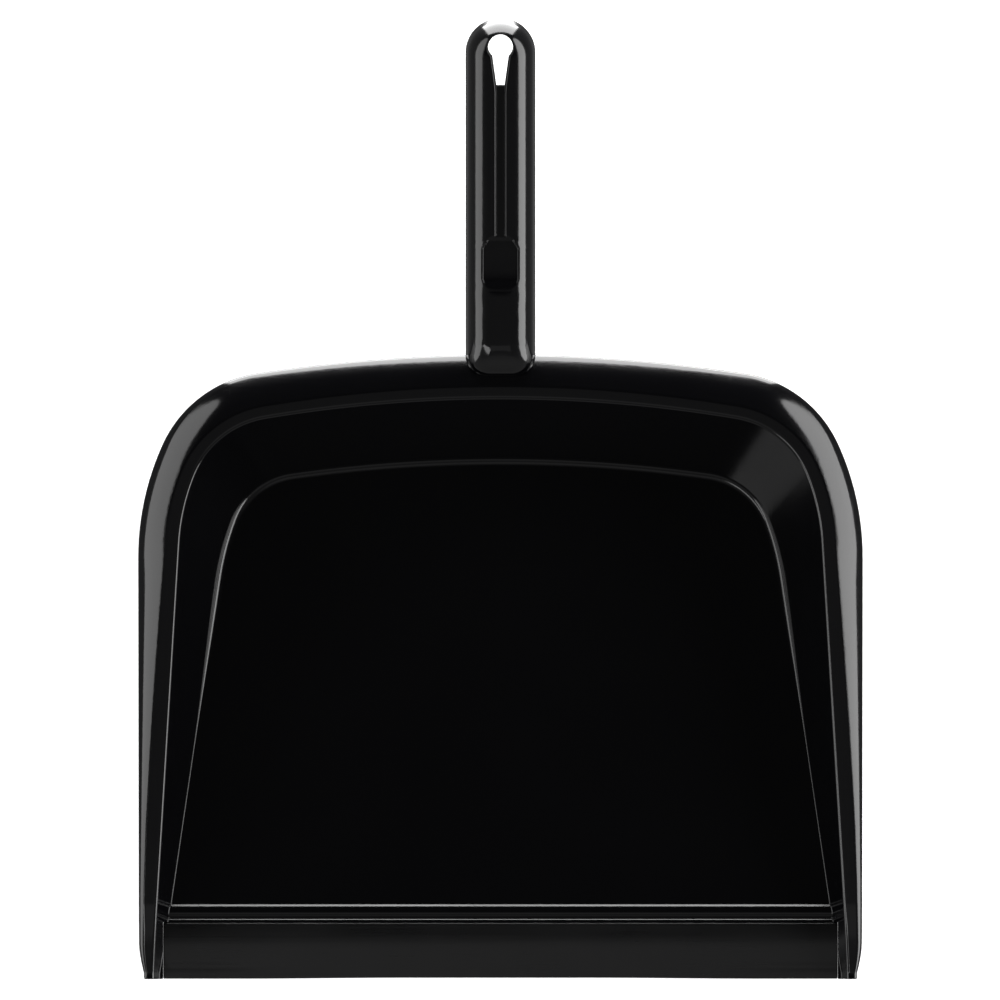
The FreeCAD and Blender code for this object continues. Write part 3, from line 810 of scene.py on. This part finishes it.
def handle_stations():
    """Half of the handle's plan, from the root's middle to the tip: each station is the place that
    its distances are measured from, the direction outwards, the inner reach on the top and on the
    ceiling, and what kind of station it is."""
    back_off = HANDLE_HALF - ROOT_CORNER
    corner = Vector((back_off, HANDLE_ROOT + ROOT_CORNER, 0.0))
    inner = ROOT_INNER + EDGE_SOFT
    across, forward = Vector((1.0, 0.0, 0.0)), Vector((0.0, -1.0, 0.0))
    stations = []
    for i in range(ROOT_COLUMNS):
        origin = Vector((back_off * i / ROOT_COLUMNS, corner.y + back_off, 0.0))
        stations.append((origin, forward, inner, inner, "root"))
    for i in range(CORNER_STEPS):
        turn = -math.pi / 2 * (1 - i / CORNER_STEPS)
        out = Vector((math.cos(turn), math.sin(turn), 0.0))
        stations.append((corner - out * back_off, out, inner, inner, "root"))
    for y in side_rows():
        reach = piecewise(y, FEATURE_HALF) + EDGE_SOFT
        stations.append((Vector((0.0, y, 0.0)), across, reach, piecewise(y, CEILING_INNER), "side"))
    for i in range(SLOT_ROWS):
        y = mix(SLOT_END, TIP_CENTRE, i / (SLOT_ROWS - 1))
        half = slot_half(y)
        stations.append((Vector((0.0, y, 0.0)), across, half + 2 * EDGE_SOFT, half, "hole"))
    for i in range(1, TIP_STEPS + 1):
        turn = math.pi / 2 * i / TIP_STEPS
        out = Vector((math.cos(turn), math.sin(turn), 0.0))
        half = lobe_reach(turn)
        stations.append((Vector((0.0, TIP_CENTRE, 0.0)), out, half + 2 * EDGE_SOFT, half, "hole"))
    return stations


# The soft edge of a sunk feature as (share inwards, share of the depth) pairs, and the levels of
# the rows down the keyhole's wall.
EDGE_PROFILE = (
    (0.0, 0.0), (0.3, 0.08), (0.55, 0.28), (0.68, 0.6), (0.78, 0.88), (0.9, 0.98), (1.0, 1.0),
)
HOLE_LEVELS = (0.25, 0.5, 0.75)


def root_cap(y):
    """How high the handle's top can be at y, where it turns down to the root's front."""
    return top_height(min(max(HANDLE_HALF - (y - HANDLE_ROOT), 0.0), HANDLE_HALF - ROOT_CORNER))


def root_fall(y, height):
    """Draws a height down towards the root's front, so that the handle runs out into the rim."""
    share = mix(ROOT_LOW_SHARE, 1.0, smooth_step((y - HANDLE_ROOT) / ROOT_RUN))
    return height if height < -RIM_SINK else mix(-RIM_SINK, height, share)


def edge_columns(start, depth, width):
    """(distance, height) pairs from the top's inner edge down to the bottom of a sunk feature."""
    bottom = HANDLE_RISE - depth
    pairs = []
    for inward, down in EDGE_PROFILE:
        reach = start - width * inward
        height = top_height(reach)
        pairs.append((reach, mix(height, min(height, bottom), down)))
    return pairs


def handle_shell():
    shell = Shell()
    stations = handle_stations()
    first_side = next(i for i, s in enumerate(stations) if s[4] == "side")
    first_hole = next(i for i, s in enumerate(stations) if s[4] == "hole")
    halves = []
    for flip in (1, -1):
        def put(origin, out, pairs):
            places = [origin + out * reach for reach, _ in pairs]
            cap = root_cap(origin.y)
            heights = [root_fall(p.y, min(height, cap)) for p, (_, height) in zip(places, pairs)]
            return shell.add([Vector((flip * p.x, p.y, z)) for p, z in zip(places, heights)])

        outer, sunk, through = [], [], []
        for origin, out, start, inner, kind in stations:
            foot_y = origin.y + out.y * HANDLE_HALF
            bottom = wall_bottom(foot_y)
            on_rim = 1 - smooth_step((foot_y - FLARE_START) / FLARE_RUN)
            profile = handle_profile(start, inner, bottom, FLARE * on_rim)
            outer.append(put(origin, out, [(p.x, p.y) for p in profile]))
            if kind == "side":
                depth = piecewise(origin.y, FEATURE_DEPTH) if origin.y > POCKET_START - 0.1 else 0.0
                sunk.append(put(origin, out, edge_columns(start, depth, 2 * EDGE_SOFT)))
            if kind == "hole":
                pairs = edge_columns(start, GROOVE_DEPTH, 2 * EDGE_SOFT)
                edge, low = pairs[-1][1], ceiling_corner(inner).y
                pairs += [(inner, mix(edge, low, share)) for share in HOLE_LEVELS + (1.0,)]
                through.append(put(origin, out, pairs))
        shell.grid(outer)
        shell.grid(sunk)
        shell.grid(through)
        halves.append((outer, sunk, through))

    (outer, sunk, through), (outer_left, sunk_left, through_left) = halves

    def across(a, b):
        one, other = shell.points[a], shell.points[b]
        middle = shell.add([mix(one, other, i / CENTRE_COLUMNS) for i in range(1, CENTRE_COLUMNS)])
        return [a] + middle + [b]

    top_rows = [across(a[-1], b[-1]) for a, b in zip(sunk, sunk_left)]
    for row in top_rows:
        for i in row:
            p = shell.points[i]
            if p.y < POCKET_START - 0.1:
                p.z = root_fall(p.y, min(top_height(abs(p.x)), root_cap(p.y)))
    shell.grid(top_rows)
    under_rows = [across(outer[i][-1], outer_left[i][-1]) for i in range(first_side, first_hole)]
    shell.grid(under_rows)
    end_wall = [top_rows[-1]]
    wall_start = len(EDGE_PROFILE)
    for level in range(len(HOLE_LEVELS)):
        end_wall.append(across(through[0][wall_start + level], through_left[0][wall_start + level]))
    end_wall.append(under_rows[-1])
    shell.grid(end_wall)

    def round_root(which):
        """The first or last points of the root's sections, from left to right."""
        left = [outer_left[i][which] for i in range(first_side - 1, -1, -1)]
        return left + [outer[i][which] for i in range(1, first_side)]

    shell.face(round_root(0) + sunk[0] + top_rows[0][1:-1] + sunk_left[0][::-1])
    shell.face(round_root(-1) + under_rows[0])
    return shell


# ---- what only shows from below: runners, beam, tongues and ribs ----

RUNNERS = (-80.0, 0.0, 80.0)
RUNNER_HALF = 2.5
RUNNER_START = 32.5
RUNNER_END = 205.0
BEAM_HALF = 142.5
BEAM_DEPTH = 7.0
FRONT_TONGUE_HALF = 141.0
BURIED = 0.6
TONGUE_LOW = -8.0
TONGUE_TOP = CEILING - 0.35
TONGUE_HALF = 9.0
TONGUE_WALL = 2.4
TONGUE_START = 268.8
TONGUE_END = 285.0
TONGUE_SOFT = 0.4
RIBS = 5
RIB_START = 300.0
RIB_PITCH = 17.5
RIB_HALF = 11.8
RIB_THICK_HALF = 0.8
RIB_LOW = -6.5
RIB_DRAFT = 1.1


def slab(shell, low, high, soft=0.5, top_shrink=0.0):
    """A closed block between two corners with rounded edges; its top may be drawn in."""
    centre = (low + high) / 2
    half = (high - low) / 2
    levels = [(low.z, soft), (low.z + 0.3 * soft, 0.3 * soft), (low.z + soft, 0.0),
              (high.z - soft, 0.0), (high.z - 0.3 * soft, 0.3 * soft), (high.z, soft)]
    rings = []
    for z, inset in levels:
        shrink = top_shrink * (z - low.z) / (high.z - low.z)
        ring = []
        for sx, sy in ((1, 1), (-1, 1), (-1, -1), (1, -1)):
            for i in range(4):
                turn = math.pi / 2 * i / 3
                lean = turn if sx * sy > 0 else math.pi / 2 - turn
                x = half.x - shrink - inset - soft + soft * math.cos(lean)
                y = half.y - shrink - inset - soft + soft * math.sin(lean)
                ring.append(Vector((centre.x + sx * x, centre.y + sy * y, z)))
        rings.append(shell.add(ring + ring[:1]))
    shell.grid(rings)
    shell.face(rings[0][:-1])
    shell.face(rings[-1][:-1])


def underside_shell():
    """Runners, the beam behind the lip and the thin tongue that the lip is pressed onto."""
    shell = Shell()
    top = FLOOR_UNDER + BURIED
    for x in RUNNERS:
        slab(shell, Vector((x - RUNNER_HALF, RUNNER_START, 0.0)),
             Vector((x + RUNNER_HALF, RUNNER_END, top)), 0.8)
    slab(shell, Vector((-BEAM_HALF, LIP_BACK, 0.0)),
         Vector((BEAM_HALF, LIP_BACK + BEAM_DEPTH, top)), 0.6)
    slab(shell, Vector((-FRONT_TONGUE_HALF, LIP_BACK - SLOT_DEPTH, SLOT_BOTTOM)),
         Vector((FRONT_TONGUE_HALF, LIP_BACK + BURIED, SLOT_TOP)), 0.3)
    return shell


def tongue_shell():
    """The hollow tongue inside the handle's root, open underneath."""
    shell = Shell()
    loops = []
    for inset, z in (
        (TONGUE_SOFT, TONGUE_TOP), (0.0, TONGUE_TOP - TONGUE_SOFT),
        (0.0, TONGUE_LOW + TONGUE_SOFT), (TONGUE_SOFT, TONGUE_LOW),
        (TONGUE_WALL - TONGUE_SOFT, TONGUE_LOW), (TONGUE_WALL, TONGUE_LOW + TONGUE_SOFT),
        (TONGUE_WALL, TONGUE_TOP - TONGUE_WALL),
    ):
        x, front, back = TONGUE_HALF - inset, TONGUE_START + inset, TONGUE_END - inset
        corners = [(x, front), (x, back), (-x, back), (-x, front), (x, front)]
        loops.append(shell.add([Vector((*corner, z)) for corner in corners]))
    shell.grid(loops)
    shell.face(loops[0][:-1])
    shell.face(loops[-1][:-1])
    return shell


def rib_shell():
    """Cross ribs inside the handle."""
    shell = Shell()
    for i in range(RIBS):
        y = RIB_START + RIB_PITCH * i
        slab(shell, Vector((-RIB_HALF, y - RIB_THICK_HALF, RIB_LOW)),
             Vector((RIB_HALF, y + RIB_THICK_HALF, CEILING + 0.3)), 0.3, RIB_DRAFT)
    return shell


# ---- materials ----


class Nodes:
    """A material's node tree with short calls for adding and joining nodes."""

    def __init__(self, name):
        self.material = bpy.data.materials.new(name)
        self.material.use_nodes = True
        self.tree = self.material.node_tree
        self.shader = self.tree.nodes["Principled BSDF"]

    def add(self, kind, links=(), **settings):
        node = self.tree.nodes.new(kind)
        for key, value in settings.items():
            if hasattr(node, key):
                setattr(node, key, value)
            else:
                node.inputs[key.replace("_", " ")].default_value = value
        for socket, source in dict(links).items():
            self.tree.links.new(source, node.inputs[socket])
        return node

    def ramp(self, source, low, high, start, end):
        """Maps a value between low and high on to start and end."""
        return self.add("ShaderNodeMapRange", {"Value": source}, From_Min=low, From_Max=high,
                        To_Min=start, To_Max=end).outputs["Result"]

    def noise(self, source, **settings):
        return self.add("ShaderNodeTexNoise", {"Vector": source}, **settings).outputs["Fac"]

    def stretched(self, source, **settings):
        return self.add("ShaderNodeMapping", {"Vector": source}, **settings).outputs["Vector"]

    def total(self, first, *others):
        for other in others:
            first = self.add("ShaderNodeMath", {0: first, 1: other}, operation="ADD").outputs[0]
        return first

    def bump(self, height, strength, distance, under=None):
        """A fine relief, on top of another bump's normal if one is given."""
        links = {"Height": height}
        if under is not None:
            links["Normal"] = under
        relief = self.add("ShaderNodeBump", links, Strength=strength, Distance=distance)
        return relief.outputs["Normal"]

    def plastic(self, refraction, dark, light, cloud, rough, normal):
        """The shader's settings: a colour between two by a cloud, a roughness and a relief."""
        self.shader.inputs["IOR"].default_value = refraction
        self.shader.inputs["Specular IOR Level"].default_value = 0.5
        tone = self.add("ShaderNodeMix", {"Factor": cloud}, data_type="RGBA")
        tone.inputs["A"].default_value = (*dark, 1.0)
        tone.inputs["B"].default_value = (*light, 1.0)
        self.feed("Base Color", tone.outputs["Result"])
        self.feed("Roughness", rough)
        self.feed("Normal", normal)
        return self.material

    def feed(self, socket, source):
        self.tree.links.new(source, self.shader.inputs[socket])


def moulded_black():
    """Polished black polypropylene: faint flow shading, fine orange peel and a few hairlines. The
    floor is a little less polished than the rest."""
    nodes = Nodes("moulded_black")
    place = nodes.add("ShaderNodeTexCoord").outputs["Object"]
    cloud = nodes.noise(place, Scale=9.0, Detail=3.0, Roughness=0.5)
    grain = nodes.noise(place, Scale=2600.0, Detail=2.0)
    peel = nodes.noise(place, Scale=260.0, Detail=2.0, Roughness=0.55)
    drawn = nodes.stretched(place, Rotation=(0.0, 0.0, 0.35), Scale=(900.0, 14.0, 60.0))
    hairs = nodes.noise(drawn, Scale=1.0, Detail=2.0)

    height = nodes.add("ShaderNodeSeparateXYZ", {"Vector": place}).outputs["Z"]
    rough = nodes.total(
        nodes.ramp(cloud, 0.3, 0.7, 0.085, 0.135),
        nodes.ramp(grain, 0.3, 0.7, -0.01, 0.015),
        nodes.ramp(hairs, 0.66, 0.74, 0.0, 0.05),
        nodes.ramp(height, 0.0046, 0.0058, 0.05, 0.0),
    )
    wave = nodes.bump(peel, 0.06, 0.0004)
    fine = nodes.bump(hairs, 0.03, 0.00005, wave)
    dark, light = (0.0009, 0.0009, 0.0012), (0.0016, 0.0016, 0.0020)
    return nodes.plastic(1.49, dark, light, cloud, rough, fine)


def soft_black():
    """Satin black rubber: a fine even grain and faint drag marks along the lip."""
    nodes = Nodes("soft_black")
    place = nodes.add("ShaderNodeTexCoord").outputs["Object"]
    cloud = nodes.noise(place, Scale=24.0, Detail=4.0, Roughness=0.6)
    grain = nodes.noise(place, Scale=1500.0, Detail=3.0)
    drags = nodes.noise(nodes.stretched(place, Scale=(12.0, 900.0, 200.0)), Scale=1.0, Detail=2.0)
    rough = nodes.total(
        nodes.ramp(cloud, 0.3, 0.7, 0.27, 0.33),
        nodes.ramp(drags, 0.35, 0.65, -0.02, 0.03),
    )
    fine = nodes.bump(grain, 0.12, 0.0001)
    dark, light = (0.0030, 0.0030, 0.0032), (0.0050, 0.0050, 0.0052)
    return nodes.plastic(1.5, dark, light, cloud, rough, fine)


def pale_floor():
    """White studio floor. It is see-through from below, so that the pan's underside can be seen."""
    nodes = Nodes("studio_floor")
    nodes.shader.inputs["Base Color"].default_value = (0.86, 0.86, 0.86, 1.0)
    nodes.shader.inputs["Roughness"].default_value = 0.9
    nodes.shader.inputs["Emission Color"].default_value = (1.0, 1.0, 1.0, 1.0)
    nodes.shader.inputs["Emission Strength"].default_value = 0.75
    behind = nodes.add("ShaderNodeNewGeometry").outputs["Backfacing"]
    clear = nodes.add("ShaderNodeBsdfTransparent")
    links = {0: behind, 1: nodes.shader.outputs[0], 2: clear.outputs[0]}
    both = nodes.add("ShaderNodeMixShader", links)
    nodes.tree.links.new(both.outputs[0], nodes.tree.nodes["Material Output"].inputs["Surface"])
    return nodes.material


# ---- studio, in metres ----

STUDIO_HALF = 60.0
STUDIO_GAP = 0.0002
SIDE_BOX = (3.6, 1.1)
LIGHTS = (
    # name, place, aim, size, radiance, shape, lean in degrees
    ("left_box", (-1.6, 0.2, 0.76), (0.0, 0.2, 0.76), SIDE_BOX, 2.9, "ELLIPSE", -20.0),
    ("left_front_box", (-1.25, -1.35, 1.45), (0.0, 0.0, 1.45), (1.4, 0.6), 3.6, "RECTANGLE", 0.0),
    ("right_box", (1.6, 0.2, 0.76), (0.0, 0.2, 0.76), SIDE_BOX, 5.8, "ELLIPSE", 20.0),
    ("far_box", (0.0, 1.3, -0.47), (0.0, 0.0, -0.47), (1.5, 1.95), 11.0, "RECTANGLE", 0.0),
    ("near_box", (0.0, -1.3, 1.6), (0.0, 0.0, 0.0), (1.4, 0.85), 0.16, "RECTANGLE", 0.0),
)
# The room's brightness along an axis of the view direction: from, to, value at from, value at to.
ROOM_UP = (0.0, 0.5, 0.18, 0.03)
ROOM_FRONT = (-0.36, -0.12, 0.1, 0.0)
ROOM_SEEN = 0.95
CAMERA_LENS = 800.0
CAMERA_SENSOR = 36.0
CAMERA_SEEN = 0.4203
CAMERA_SHARE = 0.45
CAMERA_PLACE = (-0.0002, 0.0001)


def make_floor():
    mesh = bpy.data.meshes.new("studio_floor")
    corners = [(STUDIO_HALF * x, STUDIO_HALF * y) for x, y in ((-1, -1), (1, -1), (1, 1), (-1, 1))]
    mesh.from_pydata([(x, y, cad_low.z - STUDIO_GAP) for x, y in corners], [], [(0, 1, 2, 3)])
    mesh.materials.append(pale_floor())
    floor = bpy.data.objects.new("studio_floor", mesh)
    bpy.context.scene.collection.objects.link(floor)
    floor.visible_glossy = False
    floor.visible_shadow = False


def make_light(name, place, aim, size, radiance, shape, lean):
    """A softbox turned by lean about its own axis, equally bright however large it is."""
    data = bpy.data.lights.new(name, "AREA")
    data.shape = shape
    data.size, data.size_y = size
    area = size[0] * size[1] * (math.pi / 4 if shape == "ELLIPSE" else 1.0)
    data.energy = radiance * math.pi * area
    light = bpy.data.objects.new(name, data)
    bpy.context.scene.collection.objects.link(light)
    light.location = place
    light.rotation_mode = "QUATERNION"
    facing = (Vector(aim) - Vector(place)).to_track_quat("-Z", "Y")
    light.rotation_quaternion = facing @ Quaternion((0.0, 0.0, 1.0), math.radians(lean))
    light.visible_camera = False


def make_world():
    """A dim room: dark overhead, lighter towards the horizon and the front, pale to the camera."""
    world = bpy.data.worlds.new("studio")
    bpy.context.scene.world = world
    world.use_nodes = True
    tree = world.node_tree
    background = tree.nodes["Background"]
    background.inputs["Color"].default_value = (1.0, 1.0, 1.0, 1.0)
    place = tree.nodes.new("ShaderNodeTexCoord")
    split = tree.nodes.new("ShaderNodeSeparateXYZ")
    tree.links.new(place.outputs["Generated"], split.inputs[0])
    parts = []
    for axis, values in (("Z", ROOM_UP), ("Y", ROOM_FRONT)):
        ramp = tree.nodes.new("ShaderNodeMapRange")
        tree.links.new(split.outputs[axis], ramp.inputs["Value"])
        for socket, value in zip(("From Min", "From Max", "To Min", "To Max"), values):
            ramp.inputs[socket].default_value = value
        parts.append(ramp.outputs["Result"])
    total = tree.nodes.new("ShaderNodeMath")
    tree.links.new(parts[0], total.inputs[0])
    tree.links.new(parts[1], total.inputs[1])
    path = tree.nodes.new("ShaderNodeLightPath")
    pick = tree.nodes.new("ShaderNodeMix")
    tree.links.new(path.outputs["Is Camera Ray"], pick.inputs["Factor"])
    tree.links.new(total.outputs[0], pick.inputs["A"])
    pick.inputs["B"].default_value = ROOM_SEEN
    tree.links.new(pick.outputs["Result"], background.inputs["Strength"])


def make_camera():
    """A long lens straight above the pan, with the handle up the picture."""
    data = bpy.data.cameras.new("camera")
    camera = bpy.data.objects.new("camera", data)
    bpy.context.scene.collection.objects.link(camera)
    data.sensor_width = CAMERA_SENSOR
    data.lens = CAMERA_LENS
    middle = CAMERA_SHARE * HEIGHT * MM
    distance = CAMERA_SEEN * CAMERA_LENS / CAMERA_SENSOR
    camera.location = (*CAMERA_PLACE, middle + distance)
    data.clip_end = 100.0
    bpy.context.scene.camera = camera


black = moulded_black()
rubber = soft_black()
sharpen_notch(make_piece("pan_tray", pan_shell(), black, "pan_body").data)
make_piece("pan_underside", underside_shell(), black, "pan_body")
make_piece("pan_handle_tongue", tongue_shell(), black, "pan_body", slope_point)
make_piece("handle_grip", handle_shell(), black, "handle", slope_point)
make_piece("handle_ribs", rib_shell(), black, "handle", slope_point)
make_piece("soft_lip", lip_shell(), rubber, "front_lip")

make_floor()
make_world()
make_camera()
for light in LIGHTS:
    make_light(*light)
bpy.context.scene.view_settings.view_transform = "Standard"
